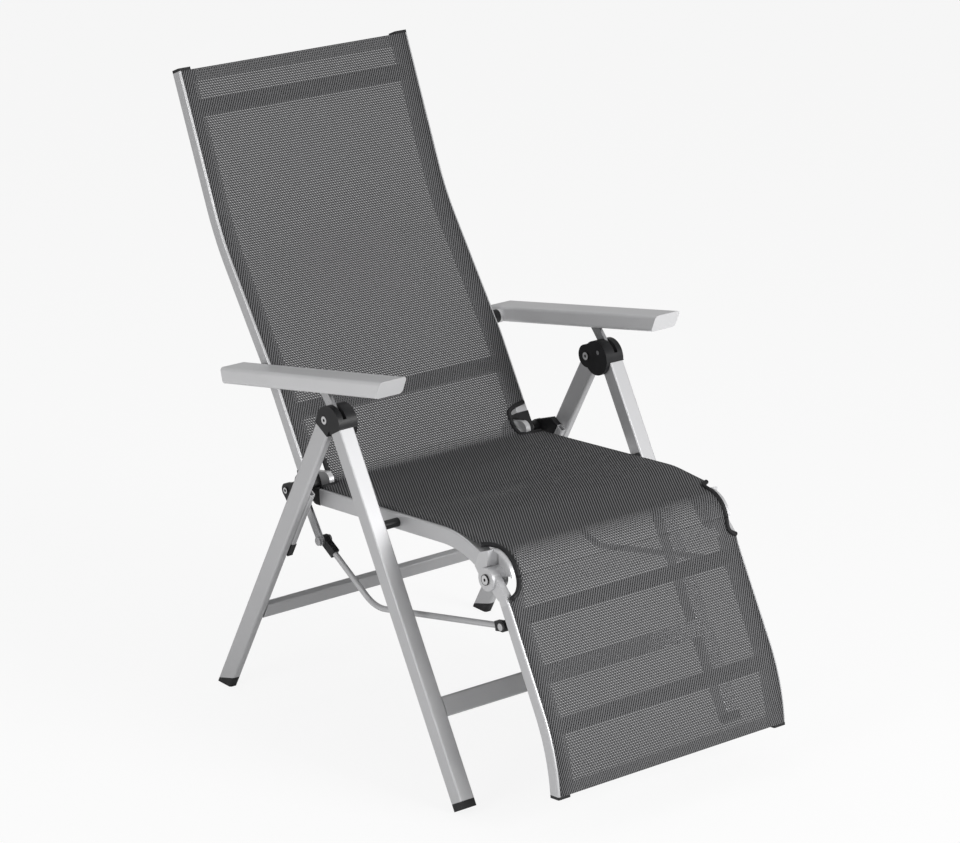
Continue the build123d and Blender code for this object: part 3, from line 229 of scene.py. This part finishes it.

# %% [markdown]
# The rivets at the pivots are hollow, and each sits in a shaded seat. Close to, that reads as
# a bright ring with a dark eye. The ring could be modelled, but at a few millimetres across
# a change of colour does as well, so the shade in the hollow eye and the shadow round the
# seat are painted into the colour. The distance from the pivot's line, taken from the place
# of the point itself, marks out the painted shade of the eye and the painted shadow of the
# seat.

# %% Rivets with a dark eye
def rivet_steel(name, pivot, eye, rim):
    """Plated steel, with painted shade in the eye and painted shadow beyond the rim, about a pivot
    (depth, height).
    """
    b = material_bench(name)
    spot = b.place()
    depth = b.axis(spot, 1) * (1 / MM) - (pivot[0] - MIDDLE)
    height = b.axis(spot, 2) * (1 / MM) - pivot[1]
    far = (depth * depth + height * height).root()
    # 1 on the plated ring; 0 in the eye (painted shade) and beyond the rim (painted shadow)
    unshaded_ring = ((far - eye) * 2).clip() * ((rim - far) * 2).clip()
    marks = b.grain(500, 1, (1, 6, 6))
    return b.finish(
        # near black: painted shade in the eye and painted shadow of the seat round the rim
        Base_Color=b.between(unshaded_ring, (0.03, 0.03, 0.03), (0.72, 0.72, 0.73)),
        Metallic=0.6,
        Roughness=(marks * 0.15 + 0.25).clip(),
    )


leg_hinge, back_pivot, knee = (56, 564), (190, 402), (-310, 389)
leg_rivet_steel = rivet_steel("leg_rivet_steel", leg_hinge, 2.4, 7.0)
tab_rivet_steel = rivet_steel("tab_rivet_steel", back_pivot, 2.4, 5.4)
knee_pin_steel = rivet_steel("knee_pin_steel", knee, 2.4, 8.0)
print("rivets made")

# %% [markdown]
# The hinge heads, end caps and feet are moulded in black nylon. Pure black would hide their
# shape, and moulded nylon is never quite black: it has a fine grain, and worn spots go
# grey. The feet and the piping round the cut-outs are softer and duller, so they take the
# same recipe with a rougher surface.

# %% Black mouldings
def moulding(name, tone, rough, grain_scale):
    """Moulded nylon or rubber: a scuffed tone and a fine skin."""
    b = material_bench(name)
    skin = b.grain(grain_scale, 2)
    scuff = b.grain(40, 4)
    low = tuple(c * 0.7 for c in tone)
    high = tuple(c * 1.5 for c in tone)
    return b.finish(
        Base_Color=b.between(scuff, low, high),
        Roughness=(skin * 0.2 + (rough - 0.1)).clip(),
        Specular_IOR_Level=0.35,
        Normal=b.relief(skin, 0.00008, 0.5),
    )


black_nylon = moulding("black_nylon", (0.014, 0.014, 0.015), 0.38, 1400)
foot_rubber = moulding("foot_rubber", (0.020, 0.020, 0.021), 0.60, 900)
piping_black = moulding("piping_black", (0.007, 0.007, 0.008), 0.55, 1100)
print("mouldings made")

# %% [markdown]
# Each CAD piece is one material on the real chair, so each takes one finish whole, without
# painting part of it. Most pieces are tube, so tube silver is the start for all, and the
# list names the others.

# %% Put the finishes on the frame's own pieces
other_finishes = [
    (cast_silver, "seat_hinge_plates seat_knee_brackets leg_rest_knee_brackets leg_rod_lugs"),
    (steel, "seat_pivot_bolts back_hinge_pins lever_bolts rod_end_bolts arm_struts"),
    (steel, "recline_levers arm_pivot_pin_left arm_pivot_pin_right"),
    (black_nylon, "front_hinge_head_left front_hinge_head_right rear_hinge_head_left"),
    (black_nylon, "rear_hinge_head_right slide_carriage_left slide_carriage_right slide_tips"),
    (black_nylon, "seat_end_caps seat_pivot_bushes back_top_caps leg_rest_caps"),
    (black_nylon, "arm_rack_left arm_rack_right rod_sleeves rod_end_fittings"),
    (black_nylon, "back_hinge_brackets arm_pivot_bracket_left arm_pivot_bracket_right"),
    (foot_rubber, "front_feet rear_feet"),
    (leg_rivet_steel, "leg_hinge_rivets"),
    (tab_rivet_steel, "carriage_rivets"),
    (knee_pin_steel, "knee_pins"),
    (arm_silver, "armrest_left armrest_right"),
]
finish_of = dict.fromkeys(frame["nodes"], tube_silver)
for finish, names in other_finishes:
    finish_of.update(dict.fromkeys(names.split(), finish))
for node, finish in finish_of.items():
    mesh = frame["nodes"][node].data
    mesh.materials.clear()
    mesh.materials.append(finish)
print("finished nodes:", len(finish_of))

# %% [markdown]
# The sling is one long mesh, from the top of the back, down over the seat, round the bands
# at the knee and on to the end of the leg rest. It could be modelled as a cloth that falls
# on the frame, but a stretched sling has no folds: seen from the side it is a single line.
# Its corners are written here in millimetres, as (depth, height), each with the radius that
# the cloth takes there, and the line is sampled every few millimetres.

# %% The sling's side line
corners = [
    (526.0, 1046.7), (414.5, 785.9), (257.9, 562.5), (167.5, 409.0), (-205.2, 444.2),
    (-352.1, 434.3), (-362.8, 358.1), (-480.3, 147.0), (-487.7, 77.8),
]
radii = [488, 412, 30, 205, 48, 60, 342]
row_step = 3.0


def rounded_route(points, bends, step):
    """Even steps along straight runs and the arcs that round the corners between them."""
    route = [points[0]]

    def run_to(end):
        start = route[-1]
        count = max(1, round(hypot(end[0] - start[0], end[1] - start[1]) / step))
        for i in range(1, count + 1):
            k = i / count
            route.append(
                (start[0] + (end[0] - start[0]) * k, start[1] + (end[1] - start[1]) * k)
            )

    for before, corner, after, bend in zip(points, points[1:], points[2:], bends):
        come = atan2(corner[1] - before[1], corner[0] - before[0])
        leave = atan2(after[1] - corner[1], after[0] - corner[0])
        turn = (leave - come + pi) % (2 * pi) - pi
        reach = bend * tan(abs(turn) / 2)
        side = 1 if turn > 0 else -1
        run_to((corner[0] - reach * cos(come), corner[1] - reach * sin(come)))
        centre = (
            route[-1][0] - side * bend * sin(come), route[-1][1] + side * bend * cos(come)
        )
        count = max(3, round(abs(turn) * bend / step))
        for i in range(1, count + 1):
            angle = come + turn * i / count
            route.append(
                (centre[0] + side * bend * sin(angle), centre[1] - side * bend * cos(angle))
            )
    run_to(points[-1])
    return route


route = rounded_route(corners, radii, row_step)
lengths = [0.0]
for a, b in zip(route, route[1:]):
    lengths.append(lengths[-1] + hypot(b[0] - a[0], b[1] - a[1]))
print("sling length, mm:", round(lengths[-1], 1), "rows:", len(route))

# %% [markdown]
# The cloth is cut away at the hip and at the knee, so that the hinges can turn beside it.
# A Boolean could cut it, but would break up the even rows. Here each row is only drawn in
# instead: a cut-out has a centre and a radius in the side view, and a half width that is
# left inside it. The rows that lie nearest to the hinges are also found here, because the
# cloth changes from one body to the next there.

# %% Where the cloth changes body, and where it is cut away
full_half = 235.7
cuts = [  # centre, radius and the half width left inside
    (back_pivot, 48, 198),
    (knee, 54, 215.5),
]
cut_ease = 11


def nearest(spot):
    """The row of the line that comes closest to a point of the side view."""
    return min(range(len(route)), key=lambda i: hypot(route[i][0] - spot[0], route[i][1] - spot[1]))


def half_width(point):
    """Half the sling's width at a point of the line: full, or drawn in at a cut-out."""
    half = full_half
    for centre, radius, inner in cuts:
        deep = (radius - hypot(point[0] - centre[0], point[1] - centre[1])) / cut_ease
        ease = min(1.0, max(0.0, deep))
        half = min(half, full_half - (full_half - inner) * (1 - (1 - ease) ** 2) ** 0.5)
    return half


hip_row, knee_row, mid_row = nearest(back_pivot), nearest((-356, 402)), nearest((-60, 430))
widths = [half_width(p) for p in route]
print("narrowest, mm:", min(widths))

# %% [markdown]
# A stretched sling isn't quite flat: between one crossbar and the next it dips a few
# millimetres in the middle of its width. A cloth simulation would give that too, though not
# the same way on each run. So each dip is a smooth swell along the line, a squared sine,
# and a parabola across it. The edges stay on the rails and the cloth still rests on the
# bars.

# %% Dips between the crossbars
spans = [  # from and to, as points of the side view, and how deep in mm
    ((500, 985), (231, 519), 5.0),
    ((225, 510), (165, 415), 1.5),
    ((60, 419), (-165, 440), 5.0),
    ((-400, 290), (-455, 190), 2.0),
]
dips = [0.0] * len(route)
for start, end, deep in spans:
    first, last = sorted((nearest(start), nearest(end)))
    for i in range(first, last + 1):
        dips[i] = deep * sin(pi * (i - first) / (last - first)) ** 2
normals = []
for i in range(len(route)):
    a, b = route[max(0, i - 1)], route[min(len(route) - 1, i + 1)]
    long = hypot(b[0] - a[0], b[1] - a[1])
    normals.append(((b[1] - a[1]) / long, -(b[0] - a[0]) / long))
print("deepest dip, mm:", max(dips))

# %% [markdown]
# The woven mesh is what the eye sees most of. It is coated yarn with a small hole in every
# cell, and each row of holes is set half a cell over from the last. Where nothing is
# behind it, white shows through the holes; over a rail or bar it stays dark; and seen at a
# low angle, as on the seat, the holes close up. Painting that would be wrong from every
# other side, so it is left to geometry: the cloth has an upper and a lower layer with the
# same holes, and the view through both is open or shut by itself. Round each hole the yarn
# dives, and the shade that falls there is painted into its colour as a near black ring; a
# groove joins each hole to the next row's, half a cell over, and is painted dark in the same
# way. Those painted grooves are the steep ribs seen on the seat. Both ends and both sides
# are hems, where the cloth is doubled round the frame and no hole shows.

# %% The woven mesh
cell_mm, row_mm = 4.9, 4.1
hole = (0.96, 0.82)
hollow = (1.20, 1.30)
end_hem_mm, side_hem_mm = 20, 26


def woven_mesh(length):
    """Cloth with holes, on a sling of this length in millimetres."""
    b = material_bench("woven_mesh")
    spot = b.node("ShaderNodeUVMap", {"uv_map": "weave"}, {})
    across, along = b.axis(spot, 0), b.axis(spot, 1)
    rows = along / (row_mm * MM)
    odd = (rows.floor() * 0.5).part()
    cells = across / (cell_mm * MM) + odd
    du = (cells.part() - 0.5) * cell_mm
    dv = (rows.part() - 0.5) * row_mm
    hem = (
        (along < end_hem_mm * MM)
        + (along > (length - end_hem_mm) * MM)
        + ((across - 0.5).size() > (full_half - side_hem_mm) * MM)
    )
    through = ((du / hole[0]) ** 2 + (dv / hole[1]) ** 2).root()
    dent = ((du / hollow[0]) ** 2 + (dv / hollow[1]) ** 2).root()
    yarn = ((through - 0.8) * 3 + hem).clip()
    # 0 in the dent round each hole: painted shade in the colour, and the bump's height
    crown_height_and_shade = ((dent - 0.8) * 2.4).clip()
    slant = across / (cell_mm * MM) + rows * 0.5 - 0.25
    # 0 along the groove to the next row's hole: painted shade in the colour, and the bump's height
    groove_height_and_shade = ((slant.part() - 0.5).size() * 3.0 - 0.45).clip()
    fleck = b.grain(700, 2)
    # painted shade in the dents and grooves, with a random fleck of the yarn's own tone
    tone = (crown_height_and_shade * groove_height_and_shade * 0.85 + fleck * 0.15).clip()
    return b.finish(
        # near black is the painted shade of the dents and grooves; the lighter colour is the yarn
        Base_Color=b.between(tone, (0.004, 0.004, 0.005), (0.205, 0.205, 0.211)),
        Roughness=(fleck * 0.2 + 0.50).clip(),
        Specular_IOR_Level=0.3,
        Alpha=yarn,
        Normal=b.relief(crown_height_and_shade * groove_height_and_shade, 0.0008, 0.8),
    )


mesh_cloth = woven_mesh(lengths[-1])
print("mesh cloth made")

# %% [markdown]
# Each run of the sling is a thin closed sheet. A plane with a Solidify modifier would do,
# but the weave needs exact places on the cloth, in metres across and along, so the rows are
# laid one by one. Every vertex keeps its place on the cloth, and each face reads its UVs
# from its corners. The upper and the lower layer share them, so their holes lie in line.

# %% Lay out one run of the sling
thickness = 0.8
columns = 26
shares = [2 * j / columns - 1 for j in range(columns + 1)]


def mesh_piece(name, work, finish):
    """A finished bmesh as an object of the scene."""
    bmesh.ops.recalc_face_normals(work, faces=work.faces)
    made = bpy.data.meshes.new(name)
    work.to_mesh(made)
    work.free()
    made.materials.append(finish)
    piece = bpy.data.objects.new(name, made)
    bpy.context.scene.collection.objects.link(piece)
    return piece


def sling_run(name, first, last):
    """Rows first to last of the sling, with their flat size and area in metres."""
    work = bmesh.new()
    weave = work.loops.layers.uv.new("weave")
    on_cloth = {}

    def vertex(i, share, lift):
        depth, height = route[i]
        off = lift - dips[i] * (1 - share * share)
        made = work.verts.new((
            share * widths[i] * MM,
            (depth - MIDDLE + normals[i][0] * off) * MM,
            (height + normals[i][1] * off) * MM,
        ))
        on_cloth[made] = (0.5 + share * widths[i] * MM, lengths[i] * MM)
        return made

    def skin(*corners):
        face = work.faces.new(corners)
        face.smooth = True
        for loop in face.loops:
            loop[weave].uv = on_cloth[loop.vert]

    upper, lower = (
        [[vertex(i, share, lift) for share in shares] for i in range(first, last + 1)]
        for lift in (thickness / 2, -thickness / 2)
    )
    high = last - first
    for i in range(high):
        for j in range(columns):
            skin(upper[i][j], upper[i][j + 1], upper[i + 1][j + 1], upper[i + 1][j])
            skin(lower[i + 1][j], lower[i + 1][j + 1], lower[i][j + 1], lower[i][j])
    for i in range(high):
        for j in (0, columns):
            skin(upper[i][j], upper[i + 1][j], lower[i + 1][j], lower[i][j])
    for i in (0, high):
        for j in range(columns):
            skin(upper[i][j], lower[i][j], lower[i][j + 1], upper[i][j + 1])

    area = sum(
        (widths[i] + widths[i + 1]) * (lengths[i + 1] - lengths[i]) for i in range(first, last)
    ) * MM ** 2
    flat = (2 * full_half * MM, (lengths[last] - lengths[first]) * MM)
    print(name, "flat, m:", [round(v, 4) for v in flat], "area:", round(area, 4))
    return mesh_piece(name, work, mesh_cloth), flat, area


# %% [markdown]
# The cloth crosses two hinge lines, at the hip and at the knee. Each crossing has two CAD
# bodies and a pin between them. A single sheet could ride on only one body, and the chair
# would tear it off at the others. So the sling is made in four runs that meet where the
# cloth belongs to the pin alone, or to the seat alone. Each run is listed with one joint,
# the millimetres of cloth given before and after it, and its two bodies, and its end lies
# exactly on the next run's start.

# %% Four runs and the joints at their ends
def spot_at(row):
    return (0.0, (route[row][0] - MIDDLE) * MM, route[row][1] * MM)


def rows_along(row, mm):
    """The row that many millimetres further along the line."""
    return min(range(len(route)), key=lambda i: abs(lengths[i] - lengths[row] - mm))


runs = [  # name, rows, the joint's row and the bend before and after it, the bodies
    ("back_mesh", 0, hip_row, hip_row, -38, 0, "back", "back_pins"),
    ("seat_mesh_rear", hip_row, mid_row, hip_row, 0, 38, "back_pins", "seat"),
    ("seat_mesh_front", mid_row, knee_row, knee_row, -30, 0, "seat", "knee_pins_body"),
    ("leg_mesh", knee_row, len(route) - 1, knee_row, 0, 40, "knee_pins_body", "leg_rest"),
]
stands_for = {
    "back_mesh": "back_sling",
    "seat_mesh_rear": "seat_sling",
    "seat_mesh_front": "seat_sling",
    "leg_mesh": "leg_sling",
}
for name, first, last, joint, start, end, body, next_body in runs:
    piece, flat, area = sling_run(name, first, last)
    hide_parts(stands_for[name])
    min(area, flat[0] * flat[1])
    bend_start, bend_end = spot_at(rows_along(joint, start)), spot_at(rows_along(joint, end))
    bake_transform(piece)

# %% [markdown]
# Round each cut-out the raw edge of the mesh is bound with a black piping, about eight
# millimetres thick. A bevelled curve could follow the edge, but it wouldn't share its
# points with the cloth. This is a tube of rings swept along the edge, so it uses the same
# rows and the same widths as the run that it edges.

# %% Piping round the cut-outs
piping_radius = 4.0
piping_inset = 0.6
piping_sides = 10


def piping(name, first, last):
    """Tubes along both edges of a run, wherever the cloth is drawn in."""
    inside = [i for i in range(first, last + 1) if widths[i] < full_half - 0.01]
    if not inside:
        return None
    work = bmesh.new()
    low, high = max(first, min(inside) - 1), min(last, max(inside) + 1)
    for side in (-1, 1):
        line = [
            Vector((
                side * (widths[i] - piping_inset) * MM,
                (route[i][0] - MIDDLE) * MM,
                route[i][1] * MM,
            ))
            for i in range(low, high + 1)
        ]
        rings = []
        for k, point in enumerate(line):
            ahead = (line[min(len(line) - 1, k + 1)] - line[max(0, k - 1)]).normalized()
            out = Vector((0, normals[low + k][0], normals[low + k][1]))
            out = (out - ahead * out.dot(ahead)).normalized()
            flank = ahead.cross(out)
            angles = [2 * pi * s / piping_sides for s in range(piping_sides)]
            rings.append([
                work.verts.new(point + (out * cos(t) + flank * sin(t)) * (piping_radius * MM))
                for t in angles
            ])
        for ring, after in zip(rings, rings[1:]):
            for s in range(piping_sides):
                t = (s + 1) % piping_sides
                work.faces.new((ring[s], ring[t], after[t], after[s])).smooth = True
        work.faces.new(rings[0])
        work.faces.new(rings[-1])
    piece = mesh_piece(name, work, piping_black)
    return piece


for name, first, last, joint, start, end, body, next_body in runs:
    edge = piping(name.replace("mesh", "piping"), first, last)
    if edge:
        bend_start, bend_end = spot_at(rows_along(joint, start)), spot_at(rows_along(joint, end))
        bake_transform(edge)
        print(edge.name, "faces:", len(edge.data.polygons))

# %% [markdown]
# The studio is almost white. More light would give a white background too, but it would
# bleach the silver, so the white comes from the Light Path node instead. What the camera
# sees of the floor is mostly plain white with a little of the lit floor in it, which keeps
# a soft shadow. What it sees beyond the floor is plain white, and the chair itself is lit
# by a weaker, even grey.

# %% Floor and background
white = (1, 1, 1, 1)
floor_size = 14
even_light = 0.34


def pale_floor():
    b = material_bench("pale_floor")
    path = b.node("ShaderNodeLightPath", {}, {}, "Is Camera Ray")
    paper = b.grain(3, 2)
    lit = b.node(
        "ShaderNodeBsdfPrincipled", {},
        {"Base Color": b.between(paper, (0.86, 0.86, 0.86), (0.88, 0.88, 0.88)), "Roughness": 0.9},
    )
    glow = b.node("ShaderNodeEmission", {}, {"Color": white, "Strength": 1.0})
    return b.close(b.node("ShaderNodeMixShader", {}, {0: path * 0.88, 1: lit, 2: glow}))


def studio():
    b = Bench(bpy.data.worlds.new("studio"))
    camera_ray = b.node("ShaderNodeLightPath", {}, {}, "Is Camera Ray")
    transmission_ray = b.node("ShaderNodeLightPath", {}, {}, "Is Transmission Ray")
    seen = camera_ray.maths("MAXIMUM", camera_ray, transmission_ray)
    soft = b.node("ShaderNodeBackground", {}, {"Color": white, "Strength": even_light})
    plain = b.node("ShaderNodeBackground", {}, {"Color": white, "Strength": 1.0})
    mix = b.node("ShaderNodeMixShader", {}, {0: seen, 1: soft, 2: plain})
    return b.close(mix, "ShaderNodeOutputWorld")


bpy.ops.mesh.primitive_plane_add(size=floor_size, location=(0, 1, 0))
floor = bpy.context.object
floor.name = "floor"
floor.data.materials.append(pale_floor())
bpy.context.scene.world = studio()
print("studio ready")

# %% [markdown]
# Three large round lamps do the rest. Small ones would give hard shadows and hot spots on
# the tubes. The strongest stands in front of the chair, a little to its left, and lights
# the faces of the front legs. A weaker one on the chair's right lifts the near side, and
# the faintest hangs above the back.

# %% Lamps
def lamp(name, place, aim, size, power):
    """A round area lamp, turned to shine at a point."""
    data = bpy.data.lights.new(name, "AREA")
    data.shape, data.size, data.energy = "DISK", size, power
    made = bpy.data.objects.new(name, data)
    made.location = place
    made.rotation_euler = (Vector(aim) - Vector(place)).to_track_quat("-Z", "Y").to_euler()
    bpy.context.scene.collection.objects.link(made)


lamp("front_lamp", (1.0, -3.4, 1.7), (0, 0, 0.5), 1.6, 95)
lamp("right_lamp", (-3.4, -0.6, 1.6), (0, 0, 0.5), 1.6, 37)
lamp("top_lamp", (0.3, 0.8, 3.6), (0, 0, 0.5), 2.2, 18)
print("lamps hung")

# %% [markdown]
# The camera stands well back, in front of the chair and to its right, at more than twice
# the height of the back. From so far away the near side comes out only a little larger than
# the far one. It could be aimed by eye, but its direction, place and focal length were
# worked out from the straight lines of the side frames, so they are written as numbers.

# %% Camera
azimuth, elevation = radians(-38.24), radians(18.82)
camera_place = (-3.5728, -4.54839, 2.4793)
focal_pixels, picture_pixels, sensor_mm = 3675.1, 960, 36
back_way = Vector((sin(azimuth) * cos(elevation), -cos(azimuth) * cos(elevation), sin(elevation)))
right_way = Vector((cos(azimuth), sin(azimuth), 0))
up_way = back_way.cross(right_way)
lens = bpy.data.cameras.new("camera")
lens.sensor_fit, lens.sensor_width = "HORIZONTAL", sensor_mm
lens.lens = focal_pixels / picture_pixels * sensor_mm
camera = bpy.data.objects.new("camera", lens)
turned = Matrix((right_way, up_way, back_way)).transposed().to_4x4()
camera.matrix_world = Matrix.Translation(camera_place) @ turned
bpy.context.scene.collection.objects.link(camera)
bpy.context.scene.camera = camera
bpy.context.scene.view_settings.view_transform = "Standard"
print("focal length, mm:", round(lens.lens, 2))
